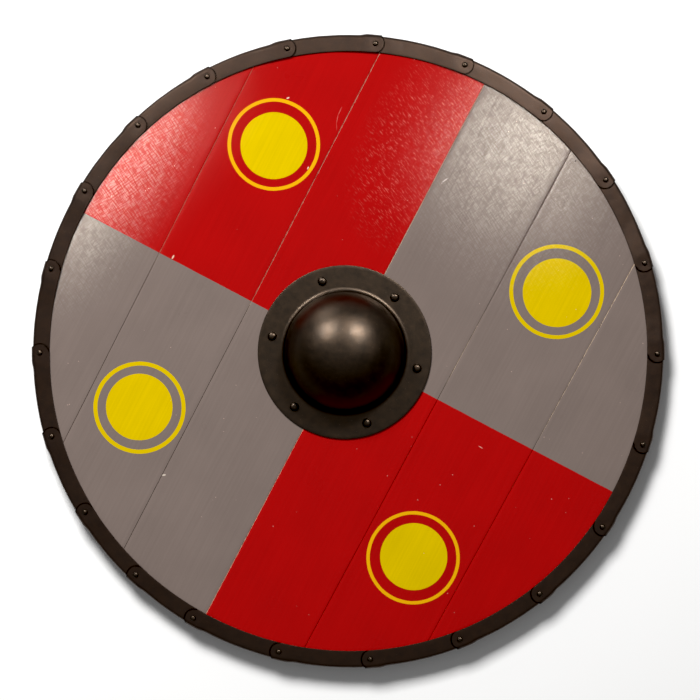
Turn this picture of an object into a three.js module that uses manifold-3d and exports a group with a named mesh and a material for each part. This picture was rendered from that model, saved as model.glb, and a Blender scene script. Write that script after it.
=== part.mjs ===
// Viking round shield of six painted planks, bound with folded steel and fitted with a domed boss.
// Millimetres. The shield lies on its back: +Z is the painted front and +X runs along the grip.
// The origin is under the middle of the rim, level with the underside of the grip.

import * as THREE from 'three';
import { mergeVertices } from 'three/addons/utils/BufferGeometryUtils.js';
import Module from 'manifold-3d';

const wasm = await Module();
wasm.setup();

const degree = Math.PI / 180;

// Clearance that touching pieces keep
const clearance = 0.3;

// Heights above the surface that the shield lies on
const gripHeight = 14;
const boardThickness = 10;
const boardBack = gripHeight + clearance;
const boardFront = boardBack + boardThickness;
const boardMiddle = (boardBack + boardFront) / 2;

// Board, a little smaller than the rim so that its edge clears the folds
const boardRadius = 312.6;
const boardSides = 60;
const plankChamfer = 0.8;

// Joints between the planks: their distances from the middle, and the small turn from each to the next
const plankDirection = 75.2 * degree;
const jointOffsets = [-213.2, -109, -4, 101.3, 208.9];
const jointTurn = -0.45 * degree;
const parallelJoint = 1;
const jointWidth = 0.4;

// Rim of folded steel pieces, laid as runs of [pieces, angle of each], and one shorter piece that closes it
const rimSteel = 1;
const rimOuterRadius = 316.6;
const rimInnerRadius = 299.6;
const rimBend = 3;
const firstRimRivet = 252.3;
const rimRuns = [[12, 17.1], [1, 16.5], [6, 15.75], [1, 15.4], [1, 15]];

// Lap of each rim piece over the one before it
const lapLift = rimSteel + clearance;
const lapReach = 9;
const lapStep = 4;
const lapUnder = 8;
const lapEndRadius = 9.6;
const lapEndShift = 0.8;
const lapEndSides = 5;

// Rivets: a round domed head, and a square shank and square tail measured from the middle to a corner
const rimRivet = { radius: 3, height: 1.9, sides: 8, rings: 2, shank: 2, tail: 3.4, tailHeight: 1 };
const rimRivetCircle = 308.8;
const bossRivet = { radius: 4.7, height: 3, sides: 12, rings: 3, shank: 2.8, tail: 5, tailHeight: 1.6 };
const bossRivetCircle = 74.2;
const bossRivetCount = 6;
const shankSides = 4;
const holeClearance = clearance * Math.SQRT2;

// Boss
const bossCentre = new THREE.Vector2(-3.7, -1.8);
const bossSteel = 1.6;
const bossHeight = 58;
const flangeRadius = 86.9;
const domeRadius = 60;
const bossFillet = 4;
const outerRings = { fillet: 2, dome: 7 };
const innerRings = { fillet: 1, dome: 5 };
const bossSides = 32;

// Hole for the hand
const handHoleRadius = 56;
const handHoleSides = 28;

// Grip: a batten that is deep and waisted for the hand, broad at its rivets and thin at its ends
const gripHand = { reach: 42, width: 30, depth: gripHeight, round: 4 };
const gripShoulder = { reach: 62, width: 36, depth: 9, round: 2 };
const gripRivets = { reach: 90, width: 36, depth: 9, round: 2 };
const gripTaper = { reach: 278, width: 21, depth: 6, round: 2 };
const gripEnd = { reach: 285, width: 12, depth: 5, round: 1.5 };

// Finishes
const redPaint = { color: 0xb20e0e, roughness: 0.55, metalness: 0 };
const greyPaint = { color: 0x7d716c, roughness: 0.55, metalness: 0 };
const oiledPine = { color: 0xb58a5a, roughness: 0.7, metalness: 0 };
const blackenedSteel = { color: 0x3a322c, roughness: 0.4, metalness: 0.9 };

const shield = new THREE.Group();

// A closed geometry as a solid that can be joined and cut
function solidOf(geometry) {
  geometry.deleteAttribute('normal');
  geometry.deleteAttribute('uv');
  const merged = mergeVertices(geometry, 1e-4);
  const index = merged.getIndex().array;
  const triangles = [];
  for (let i = 0; i < index.length; i += 3) {
    const [a, b, c] = index.slice(i, i + 3);
    if (a !== b && b !== c && c !== a) {
      triangles.push(a, b, c);
    }
  }
  const vertProperties = merged.getAttribute('position').array;
  return new wasm.Manifold(new wasm.Mesh({ numProp: 3, vertProperties, triVerts: new Uint32Array(triangles) }));
}

// A solid as a named mesh with its own material, added to the shield
function addPiece(name, solid, finish) {
  const mesh = solid.getMesh();
  const geometry = new THREE.BufferGeometry();
  geometry.setAttribute('position', new THREE.BufferAttribute(mesh.vertProperties, mesh.numProp));
  geometry.setIndex(new THREE.BufferAttribute(mesh.triVerts, 1));
  geometry.computeVertexNormals();
  const piece = new THREE.Mesh(geometry, new THREE.MeshStandardMaterial(finish));
  piece.name = name;
  shield.add(piece);
}

function numbered(base, number, digits) {
  return `${base}_${String(number).padStart(digits, '0')}`;
}

// A profile of [radius, height] points turned round a vertical axis at a place on the board
function turned(profile, sides, place) {
  const points = profile.map(([radius, height]) => new THREE.Vector2(radius, height));
  const geometry = new THREE.LatheGeometry(points, sides);
  geometry.rotateX(Math.PI / 2);
  geometry.translate(place.x, place.y, 0);
  return solidOf(geometry);
}

// Profile points of a dome, from its widest place to its top
function quarterDome(radius, base, top, rings) {
  return Array.from({ length: rings + 1 }, (_, i) => {
    const angle = i / rings * Math.PI / 2;
    return [radius * Math.cos(angle), base + (top - base) * Math.sin(angle)];
  });
}

// A drill that passes through everything
function drill(radius, sides, place) {
  const low = -1;
  const high = boardFront + bossHeight;
  return turned([[0, low], [radius, low], [radius, high], [0, high]], sides, place);
}

function onCircle(radius, angle, centre = new THREE.Vector2()) {
  return new THREE.Vector2(radius * Math.cos(angle), radius * Math.sin(angle)).add(centre);
}

// Outlines of equal length, counter-clockwise, joined one to the next and closed at both ends.
// place(i, point) sets point of outline i in space, and the outlines advance away from the reader.
function loft(outlines, place) {
  const size = outlines[0].length;
  const positions = outlines.flatMap((outline, i) => outline.flatMap((point) => place(i, point).toArray()));
  const index = [];
  for (let i = 0; i + 1 < outlines.length; i += 1) {
    for (let j = 0; j < size; j += 1) {
      const a = i * size + j;
      const b = i * size + (j + 1) % size;
      index.push(a, a + size, b, b, a + size, b + size);
    }
  }
  const last = (outlines.length - 1) * size;
  for (const [a, b, c] of THREE.ShapeUtils.triangulateShape(outlines[0], [])) {
    index.push(a, b, c);
  }
  for (const [a, b, c] of THREE.ShapeUtils.triangulateShape(outlines.at(-1), [])) {
    index.push(last + a, last + c, last + b);
  }
  const geometry = new THREE.BufferGeometry();
  geometry.setAttribute('position', new THREE.Float32BufferAttribute(positions, 3));
  geometry.setIndex(index);
  return solidOf(geometry);
}

// Rim rivets: one at each lap

function rimRivetAngles() {
  const angles = [firstRimRivet];
  for (const [pieces, turn] of rimRuns) {
    for (let i = 0; i < pieces; i += 1) {
      angles.push(angles.at(-1) + turn);
    }
  }
  return angles.map((angle) => angle * degree);
}

const rimAngles = rimRivetAngles();
const rimPlaces = rimAngles.map((angle) => onCircle(rimRivetCircle, angle));
const bossPlaces = Array.from({ length: bossRivetCount }, (_, i) => (
  onCircle(bossRivetCircle, i * 2 * Math.PI / bossRivetCount, bossCentre)
));

function rivetHole(rivet, place) {
  return drill(rivet.shank + holeClearance, shankSides, place);
}

// A rivet between the face that its head sits on and the face that its tail is hammered against
function rivetSolid(rivet, place, front, back) {
  const seat = front + clearance;
  const hammered = back - clearance;
  const top = seat + rivet.height;
  const head = turned([[0, seat], ...quarterDome(rivet.radius, seat, top, rivet.rings)], rivet.sides, place);
  const shank = turned([
    [0, hammered - rivet.tailHeight],
    [rivet.tail, hammered],
    [rivet.shank, hammered],
    [rivet.shank, seat],
    [0, seat],
  ], shankSides, place);
  return head.add(shank);
}

// Planks

// Where a joint runs: a point of it and its direction
function joint(index) {
  const across = plankDirection - Math.PI / 2;
  return {
    point: onCircle(jointOffsets[index], across),
    direction: onCircle(1, plankDirection + jointTurn * (index - parallelJoint)),
  };
}

// A point along one side of a joint
function besideJoint({ point, direction }, along, aside) {
  return new THREE.Vector2(
    point.x + direction.x * along + direction.y * aside,
    point.y + direction.y * along - direction.x * aside,
  );
}

// A long strip between two joints, or between the first or last joint and beyond the board
function plankStrip(index) {
  const beyondBoard = 10;
  const reach = boardRadius + beyondBoard;
  const last = jointOffsets.length - 1;
  const low = joint(Math.max(index - 1, 0));
  const high = joint(Math.min(index, last));
  const lowAside = index === 0 ? -reach : jointWidth / 2;
  const highAside = index > last ? reach : -jointWidth / 2;
  const outline = new THREE.Shape([
    besideJoint(low, -reach, lowAside),
    besideJoint(high, -reach, highAside),
    besideJoint(high, reach, highAside),
    besideJoint(low, reach, lowAside),
  ]);
  const geometry = new THREE.ExtrudeGeometry(outline, {
    depth: boardThickness - 2 * plankChamfer,
    bevelThickness: plankChamfer,
    bevelSize: plankChamfer,
    bevelOffset: -plankChamfer,
    bevelSegments: 1,
  });
  geometry.translate(0, 0, boardBack + plankChamfer);
  return solidOf(geometry);
}

function addPlanks() {
  const round = drill(boardRadius, boardSides, new THREE.Vector2());
  const handHole = drill(handHoleRadius, handHoleSides, bossCentre);
  for (let index = 0; index <= jointOffsets.length; index += 1) {
    let plank = plankStrip(index).intersect(round).subtract(handHole);
    for (const place of rimPlaces) {
      plank = plank.subtract(rivetHole(rimRivet, place));
    }
    for (const place of bossPlaces) {
      plank = plank.subtract(rivetHole(bossRivet, place));
    }
    addPiece(numbered('plank', index + 1, 1), plank, index < jointOffsets.length / 2 ? redPaint : greyPaint);
  }
}

// Rim pieces

// Section of the folded channel round the board's edge, as [radius, height], raised by lift at a lap
function channelSection(lift) {
  const outer = rimOuterRadius + lift;
  const front = boardFront + clearance + rimSteel + lift;
  const back = boardBack - clearance - rimSteel - lift;
  const innerBend = rimBend - rimSteel * (2 - Math.SQRT2);
  const side = (radius, top, bottom, bend) => [
    [rimInnerRadius, bottom],
    [radius - bend, bottom],
    [radius, bottom + bend],
    [radius, top - bend],
    [radius - bend, top],
    [rimInnerRadius, top],
  ];
  const outside = side(outer, front, back, rimBend);
  const inside = side(outer - rimSteel, front - rimSteel, back + rimSteel, innerBend);
  return [...outside, ...inside.reverse()].map(([radius, height]) => new THREE.Vector2(radius, height));
}

// The cutter that rounds the lapping end of a piece, about its rivet
function lapEndCutter(angle) {
  const beyond = 14;
  const outline = new THREE.Shape();
  outline.moveTo(-beyond, -beyond);
  outline.lineTo(0, -beyond);
  outline.absarc(0, 0, lapEndRadius, -Math.PI / 2, -3 * Math.PI / 2, true);
  outline.lineTo(0, beyond);
  outline.lineTo(-beyond, beyond);
  outline.closePath();
  const geometry = new THREE.ExtrudeGeometry(outline, {
    depth: 2 * boardThickness,
    bevelEnabled: false,
    curveSegments: lapEndSides,
  });
  geometry.translate(lapEndShift, -rimRivetCircle, boardMiddle - boardThickness);
  geometry.rotateZ(angle + Math.PI / 2);
  return solidOf(geometry);
}

function rimSegment(start, end) {
  const along = (distance) => distance / rimRivetCircle;
  const stepped = start + along(lapReach + lapStep);
  const finish = end + along(lapUnder);
  const stations = [
    { angle: start - along(lapEndRadius), lift: lapLift },
    { angle: start + along(lapReach), lift: lapLift },
    { angle: stepped, lift: 0 },
    { angle: (stepped + finish) / 2, lift: 0 },
    { angle: finish, lift: 0 },
  ];
  const strip = loft(stations.map(({ lift }) => channelSection(lift)), (i, point) => {
    const place = onCircle(point.x, stations[i].angle);
    return new THREE.Vector3(place.x, place.y, point.y);
  });
  return strip
    .subtract(lapEndCutter(start))
    .subtract(rivetHole(rimRivet, onCircle(rimRivetCircle, start)))
    .subtract(rivetHole(rimRivet, onCircle(rimRivetCircle, end)));
}

function addRim() {
  const front = boardFront + clearance + rimSteel + lapLift;
  const back = boardBack - clearance - rimSteel - lapLift;
  rimAngles.forEach((start, i) => {
    const end = i + 1 < rimAngles.length ? rimAngles[i + 1] : rimAngles[0] + 2 * Math.PI;
    addPiece(numbered('rim_segment', i + 1, 2), rimSegment(start, end), blackenedSteel);
    addPiece(numbered('rim_rivet', i + 1, 2), rivetSolid(rimRivet, rimPlaces[i], front, back), blackenedSteel);
  });
}

// Boss

const flangeBottom = boardFront + clearance;
const flangeTop = flangeBottom + bossSteel;

// Points of the hollow curve from the flat flange up to the foot of the dome
function filletCurve(radius, base, bend, rings) {
  return Array.from({ length: rings }, (_, i) => {
    const angle = i / rings * Math.PI / 2;
    return [radius + bend - bend * Math.sin(angle), base + bend - bend * Math.cos(angle)];
  });
}

function bossSolid() {
  const domeBase = flangeTop + bossFillet;
  const top = flangeBottom + bossHeight;
  const outside = [
    [flangeRadius, flangeTop],
    ...filletCurve(domeRadius, flangeTop, bossFillet, outerRings.fillet),
    ...quarterDome(domeRadius, domeBase, top, outerRings.dome),
  ];
  const inside = [
    [flangeRadius, flangeBottom],
    ...filletCurve(domeRadius - bossSteel, flangeBottom, bossFillet + bossSteel, innerRings.fillet),
    ...quarterDome(domeRadius - bossSteel, domeBase, top - bossSteel, innerRings.dome),
  ];
  return turned([...inside.reverse(), ...outside], bossSides, bossCentre);
}

function addBoss() {
  let boss = bossSolid();
  for (const place of bossPlaces) {
    boss = boss.subtract(rivetHole(bossRivet, place));
  }
  addPiece('boss', boss, blackenedSteel);
  bossPlaces.forEach((place, i) => {
    const throughGrip = i % (bossRivetCount / 2) === 0;
    const back = throughGrip ? gripHeight - gripRivets.depth : boardBack;
    addPiece(numbered('boss_rivet', i + 1, 1), rivetSolid(bossRivet, place, flangeTop, back), blackenedSteel);
  });
}

// Grip

// Section of the batten, with its four long edges planed off
function gripSection({ width, depth, round }) {
  const half = width / 2;
  const low = gripHeight - depth;
  return [
    [half - round, low],
    [half, low + round],
    [half, gripHeight - round],
    [half - round, gripHeight],
    [round - half, gripHeight],
    [-half, gripHeight - round],
    [-half, low + round],
    [round - half, low],
  ].map(([across, height]) => new THREE.Vector2(across, height));
}

function addGrip() {
  const half = [gripHand, gripShoulder, gripRivets, gripTaper, gripEnd];
  const places = [
    ...half.toReversed().map((place) => ({ ...place, x: -place.reach })),
    ...half.map((place) => ({ ...place, x: place.reach })),
  ];
  let grip = loft(places.map(gripSection), (i, point) => (
    new THREE.Vector3(places[i].x + bossCentre.x, bossCentre.y - point.x, point.y)
  ));
  for (const place of bossPlaces) {
    grip = grip.subtract(rivetHole(bossRivet, place));
  }
  addPiece('grip', grip, oiledPine);
}

addPlanks();
addRim();
addBoss();
addGrip();

export default shield;
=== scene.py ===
from math import cos, pi, radians, sin, sqrt

import bmesh
import bpy
import numpy as np
from bpy.props import FloatProperty, FloatVectorProperty, IntProperty, PointerProperty
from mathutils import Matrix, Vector


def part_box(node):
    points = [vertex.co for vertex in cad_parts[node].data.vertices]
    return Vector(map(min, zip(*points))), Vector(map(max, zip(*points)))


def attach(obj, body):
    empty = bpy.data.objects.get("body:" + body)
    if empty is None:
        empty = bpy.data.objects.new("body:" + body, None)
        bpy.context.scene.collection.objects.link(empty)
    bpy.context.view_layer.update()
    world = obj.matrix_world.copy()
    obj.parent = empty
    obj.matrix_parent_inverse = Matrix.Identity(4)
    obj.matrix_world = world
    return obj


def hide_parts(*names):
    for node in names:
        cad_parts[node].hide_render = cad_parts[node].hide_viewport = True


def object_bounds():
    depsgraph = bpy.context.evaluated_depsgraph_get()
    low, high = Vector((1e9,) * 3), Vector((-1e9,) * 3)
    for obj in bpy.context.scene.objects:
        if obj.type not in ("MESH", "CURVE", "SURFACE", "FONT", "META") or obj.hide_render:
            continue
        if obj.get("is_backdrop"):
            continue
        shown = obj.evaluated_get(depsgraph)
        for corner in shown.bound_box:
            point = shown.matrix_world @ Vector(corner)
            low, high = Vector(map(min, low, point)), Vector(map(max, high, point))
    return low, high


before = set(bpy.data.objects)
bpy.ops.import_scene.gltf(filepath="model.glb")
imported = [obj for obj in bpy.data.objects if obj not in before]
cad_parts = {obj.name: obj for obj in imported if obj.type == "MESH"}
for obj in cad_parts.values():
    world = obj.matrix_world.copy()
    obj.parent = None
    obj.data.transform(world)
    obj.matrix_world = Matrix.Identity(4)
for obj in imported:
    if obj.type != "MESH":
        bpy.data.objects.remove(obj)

bl_info = {
    "name": "Viking Round Shield",
    "version": (1, 0, 0),
    "blender": (4, 5, 0),
    "location": "View3D > Sidebar > Shield",
    "description": "Painted planks, folded steel rim, boss, rivets and grip of a round shield",
    "category": "Add Mesh",
}

# The CAD model's own box, kept from before any piece is made
cad_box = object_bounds()

MM = 0.001

# The shield lies with its grip along X. It hangs turned by this much, and is painted as it hangs.
HANG = radians(12.5)

# Direction of the boards as the shield hangs, in degrees
ALONG_BOARDS = 62.7

# Heights of the board's two faces
BOARD_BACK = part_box("plank_1")[0].z
BOARD_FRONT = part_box("plank_1")[1].z

# The rim's fold: its gap to the board, the rounding of its edges, and how far past its rivet each round end
# has its middle
RIM_GAP = 0.3 * MM
STRIP_EDGE = 0.3 * MM
END_MIDDLE = 0.8 * MM

# Rounding of the flange's edge
BOSS_EDGE = 0.45 * MM

# Middle and flange of the boss
BOSS_LOW, BOSS_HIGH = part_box("boss")
BOSS_CENTRE = (BOSS_LOW + BOSS_HIGH) / 2
FLANGE_RADIUS = (BOSS_HIGH.x - BOSS_LOW.x) / 2


def linear(hex_colour):
    """Linear colour, with alpha, of an sRGB hex value."""
    channels = [int(hex_colour[i:i + 2], 16) / 255 for i in (0, 2, 4)]
    return tuple(c / 12.92 if c <= 0.04045 else ((c + 0.055) / 1.055) ** 2.4 for c in channels) + (1.0,)


# Sizes and colours

def size_mm(name, description, millimetres):
    """A size for a PropertyGroup, given in millimetres and kept in metres."""
    return FloatProperty(name=name, description=description, default=millimetres * MM, unit='LENGTH',
                         precision=5)


def finish_colour(name, description, hex_colour):
    """A colour for a PropertyGroup, given as an sRGB hex value."""
    return FloatVectorProperty(name=name, description=description, size=4, subtype='COLOR', min=0, max=1,
                               default=linear(hex_colour))


class ShieldPlanks(bpy.types.PropertyGroup):
    radius: size_mm("Board radius", "Out to the edge inside the rim", 312.6)
    offsets: FloatVectorProperty(name="Joints", description="Distance of each joint from the middle", size=5,
                                 default=[d * MM for d in (-213.2, -109.0, -4.0, 101.3, 208.9)],
                                 unit='LENGTH', precision=5)
    direction: FloatProperty(name="Plank direction", description="Direction of the second joint",
                             default=radians(75.2), unit='ROTATION')
    turn: FloatProperty(name="Joint turn", description="Turn from each joint to the next",
                        default=radians(-0.45), unit='ROTATION')
    gap: size_mm("Joint gap", "Open width between two planks", 0.16)
    arris: size_mm("Arris", "Radius worn on each plank's edges", 0.55)
    cupping: size_mm("Cupping", "How far a plank's face dips from its flattest place", 0.16)
    hand_hole: size_mm("Hand hole radius", "Hole behind the boss", 56)
    red: finish_colour("Red paint", "Colour of two quarters", "a01111")
    grey: finish_colour("Grey paint", "Colour of two quarters", "766963")
    yellow: finish_colour("Yellow paint", "Colour of the discs and the rings", "ccaf06")
    thin_yellow: finish_colour("Thin yellow", "The rings where the red shows through", "dca312")
    pine: finish_colour("Pine", "Early wood of the bare back", "c49a66")


class ShieldRim(bpy.types.PropertyGroup):
    steel: size_mm("Steel", "Thickness of the folded strip", 1)
    outer: size_mm("Outer radius", "Outside of the fold", 316.6)
    inner: size_mm("Inner radius", "Edge of the fold on the board's face", 299.6)
    bend: size_mm("Bend", "Outside radius of the fold's two bends", 3)
    lift: size_mm("Lap lift", "How far a lap stands over the piece under it", 1.3)
    end_radius: size_mm("Lap end radius", "Round end of each piece, about its rivet", 9.6)
    under: size_mm("Lap under", "How far each piece runs on under the next one", 8)
    hammering: size_mm("Hammering", "Depth of the dents left by the hammer", 0.06)
    fall: size_mm("Fall", "How far the fold's faces slope in towards the outer edge", 1.1)
    wander: size_mm("Wander", "How far the rim strays from a true circle", 0.5)
    steel_colour: finish_colour("Steel colour", "Blackened and oiled steel", "3f342e")


class ShieldBoss(bpy.types.PropertyGroup):
    steel: size_mm("Steel", "Thickness of the boss", 1.6)
    dome: size_mm("Dome radius", "Dome at its foot", 60)
    fillet: size_mm("Fillet", "Hollow curve between flange and dome", 5)
    columns: IntProperty(name="Columns", description="Faces round the boss", default=176)
    dents: size_mm("Dents", "Depth of the shallow dents left by dishing", 0.07)
    steel_colour: finish_colour("Steel colour", "Blackened and oiled steel", "342d27")


class ShieldRivets(bpy.types.PropertyGroup):
    rim_circle: size_mm("Rim rivet circle", "Radius that the rim's rivets stand on", 308.8)
    rim_shank: size_mm("Rim shank", "Middle to corner of the square shank", 2)
    rim_tail: size_mm("Rim tail", "Middle to corner of the hammered tail", 3.4)
    boss_shank: size_mm("Boss shank", "Middle to corner of the square shank", 2.8)
    boss_tail: size_mm("Boss tail", "Middle to corner of the hammered tail", 5)
    hole: size_mm("Hole clearance", "Space between a shank and its hole", 0.15)
    steel_colour: finish_colour("Steel colour", "Blackened and oiled steel", "342d27")


class ShieldGrip(bpy.types.PropertyGroup):
    hand_width: size_mm("Hand width", "Width where the hand holds it", 30)
    rivet_width: size_mm("Rivet width", "Width where it is riveted", 36)
    end_width: size_mm("End width", "Width near its ends", 21)
    planing: size_mm("Planing", "Depth of the flats that the plane left", 0.25)
    pine: finish_colour("Oiled pine", "Darkened by oil and by hands", "a97e4e")


class ShieldStudio(bpy.types.PropertyGroup):
    distance: FloatProperty(name="Camera distance", description="Lens to the board's face", default=3,
                            unit='LENGTH')
    lens: FloatProperty(name="Lens", description="Focal length", default=154.3, unit='CAMERA')
    key: FloatProperty(name="Key light", description="Soft light from the upper left", default=97,
                       unit='POWER')
    sheen: FloatProperty(name="Sheen lights", description="Soft boxes that the steel reflects", default=11.5,
                         unit='POWER')
    grid: FloatProperty(name="Gridded lights", description="Two gridded strips that the oily paint reflects",
                        default=0.115, unit='POWER')
    room: FloatProperty(name="Room light", description="Even light from all round", default=0.2)


# Shapes

def smooth(x):
    """A soft step from 0 to 1 as x goes from 0 to 1."""
    x = np.clip(x, 0, 1)
    return x * x * (3 - 2 * x)


def ripples(points, wavelength, seed):
    """Uneven waves of hand work over an array of points, mostly within -1 to 1."""
    chance = np.random.default_rng(seed)
    waves = 12
    directions = chance.normal(size=(waves, points.shape[-1]))
    directions /= np.linalg.norm(directions, axis=1, keepdims=True)
    lengths = wavelength * chance.uniform(0.7, 1.6, (waves, 1))
    phases = points @ (directions * 2 * pi / lengths).T + chance.uniform(0, 2 * pi, waves)
    return np.cos(phases).sum(-1) / sqrt(waves)


def edge_stops(radius):
    """Distances from an edge at which its rounding needs points."""
    return [radius * (1 - cos(radians(angle))) for angle in (0, 30, 60, 90)]


def edge_drop(distance, radius):
    """How far a rounded edge lies under the flat face, at a distance in from the edge."""
    short = radius - np.minimum(distance, radius)
    return radius - np.sqrt(radius * radius - short * short)


def stops_between(low, high, spacing, radius):
    """Places from one rounded edge to the other, close together on the roundings and even between them."""
    ends = edge_stops(radius)
    middle = np.linspace(low + radius, high - radius, max(2, round((high - low) / spacing) + 1))[1:-1]
    return np.concatenate([low + np.array(ends), middle, high - np.array(ends[::-1])])


def shell(front, back, around=False, pole=False):
    """Points and faces of the solid between two grids of points, closed round its open edges."""
    rows, columns = front.shape[:2]
    count = rows * columns
    index = np.arange(count).reshape(rows, columns)
    if around:
        index = np.concatenate([index, index[:, :1]], axis=1)
    quads = np.stack([index[:-1, :-1], index[1:, :-1], index[1:, 1:], index[:-1, 1:]], -1).reshape(-1, 4)
    if around:
        rings = [index[0]] if pole else [index[0], index[-1][::-1]]
    else:
        rings = [np.concatenate([index[0], index[1:, -1], index[-1, -2::-1], index[-2::-1, 0]])]
    sides = [np.stack([ring[:-1], ring[1:], ring[1:] + count, ring[:-1] + count], -1) for ring in rings]
    faces = np.concatenate([quads, quads[:, ::-1] + count, *sides])
    return np.concatenate([front.reshape(-1, 3), back.reshape(-1, 3)]), faces


def solid(name, points, faces):
    """A closed mesh object, with its doubled points joined and its faces turned outwards."""
    mesh = bpy.data.meshes.new(name)
    mesh.from_pydata(points.tolist(), [], [list(face) for face in faces])
    work = bmesh.new()
    work.from_mesh(mesh)
    bmesh.ops.remove_doubles(work, verts=work.verts, dist=1e-6)
    bmesh.ops.dissolve_degenerate(work, edges=work.edges, dist=1e-7)
    bmesh.ops.recalc_face_normals(work, faces=work.faces)
    work.to_mesh(mesh)
    work.free()
    piece = bpy.data.objects.new(name, mesh)
    bpy.context.scene.collection.objects.link(piece)
    return piece


def stack(rings):
    """Points and faces of rings of points laid one over the other, with both ends filled."""
    count, size = rings.shape[:2]
    index = np.arange(count * size).reshape(count, size)
    index = np.concatenate([index, index[:, :1]], axis=1)
    quads = np.stack([index[:-1, :-1], index[:-1, 1:], index[1:, 1:], index[1:, :-1]], -1).reshape(-1, 4)
    ends = [list(index[0, :-1][::-1]), list(index[-1, :-1])]
    return rings.reshape(-1, 3), [list(quad) for quad in quads] + ends


def carve(piece, cutters):
    """Takes the cutters' solids out of the piece, and removes the cutters."""
    for cutter in cutters:
        cut = piece.modifiers.new("carve", 'BOOLEAN')
        cut.operation = 'DIFFERENCE'
        cut.solver = 'MANIFOLD'
        cut.object = cutter
    bpy.context.view_layer.update()
    carved = bpy.data.meshes.new_from_object(piece.evaluated_get(bpy.context.evaluated_depsgraph_get()))
    whole = piece.data
    if len(carved.polygons) < 0.8 * len(whole.polygons):
        raise RuntimeError(f"carving {piece.name} took too much away")
    piece.modifiers.clear()
    piece.data = carved
    bpy.data.meshes.remove(whole)
    for cutter in cutters:
        bpy.data.objects.remove(cutter)


def square_drill(place, half_diagonal, low, high):
    """A square prism through a rivet's place, its corners along the axes like the shank's."""
    turns = np.arange(4) * pi / 2
    outline = np.stack([place.x + half_diagonal * np.cos(turns), place.y + half_diagonal * np.sin(turns)], -1)
    rings = [np.column_stack([outline, np.full(4, z)]) for z in (low, high)]
    return solid("drill", *stack(np.array(rings)))


def settle(piece, materials, nodes, sharp=40):
    """Gives a piece its materials, smooth faces and its place in the shield."""
    piece.data.materials.clear()
    for material in materials:
        piece.data.materials.append(material)
    piece.data.shade_smooth()
    piece.data.set_sharp_from_angle(angle=radians(sharp))
    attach(piece, "root")
    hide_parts(*nodes)


def light_group(name):
    """The collection of pieces that some of the lights reach alone."""
    return bpy.data.collections.get(name) or bpy.data.collections.new(name)


def middle_of(node):
    low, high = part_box(node)
    return (low + high) / 2


def rim_rivet_nodes():
    return [f"rim_rivet_{number:02d}" for number in range(1, 23)]


def boss_rivet_nodes():
    return [f"boss_rivet_{number}" for number in range(1, 7)]


def rim_fall(rim, radius):
    """How far the fold's faces, and the board under them, slope in at a radius."""
    return rim.fall * np.clip((radius - rim.inner) / (rim.outer - rim.bend - rim.inner), 0, 1) ** 1.3


# Materials

def node_adder(tree):
    """The function that adds a node to this tree, emptied first.
    An input goes by number where a node has several of one name, such as 6 and 7, the colours of Mix."""
    tree.nodes.clear()

    def add(kind, inputs=None, operation=None, output=0, stops=None, **settings):
        """Adds a node with its operation, inputs, colour stops and settings, and gives one of its outputs."""
        node = tree.nodes.new("ShaderNode" + kind)
        if operation:
            node.operation = operation
        for name, value in settings.items():
            setattr(node, name, value)
        for key, value in (inputs or {}).items():
            if isinstance(value, bpy.types.NodeSocket):
                tree.links.new(value, node.inputs[key])
            else:
                node.inputs[key].default_value = value
        if stops:
            ramp = node.color_ramp
            while len(ramp.elements) < len(stops):
                ramp.elements.new(1)
            for element, (position, level) in zip(ramp.elements, stops):
                element.position = position
                element.color = (level, level, level, 1)
        return node if output is None else node.outputs[output]

    return add


def new_material(name):
    """An empty material of that name, and the function that adds its nodes."""
    material = bpy.data.materials.new(name)
    material.use_nodes = True
    return material, node_adder(material.node_tree)


def from_oval(add, place, x, y, turn, half_length, half_width):
    """How far a place is from an oval's middle, 1 at its edge. Middle and half sizes are in mm."""
    inside = add("Mapping", {"Vector": place, "Location": (x * MM, y * MM, 0),
                             "Rotation": (0, 0, radians(turn)),
                             "Scale": (half_length * MM, half_width * MM, 1)}, vector_type='TEXTURE')
    return add("VectorMath", {0: inside}, 'LENGTH', output="Value")


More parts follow.
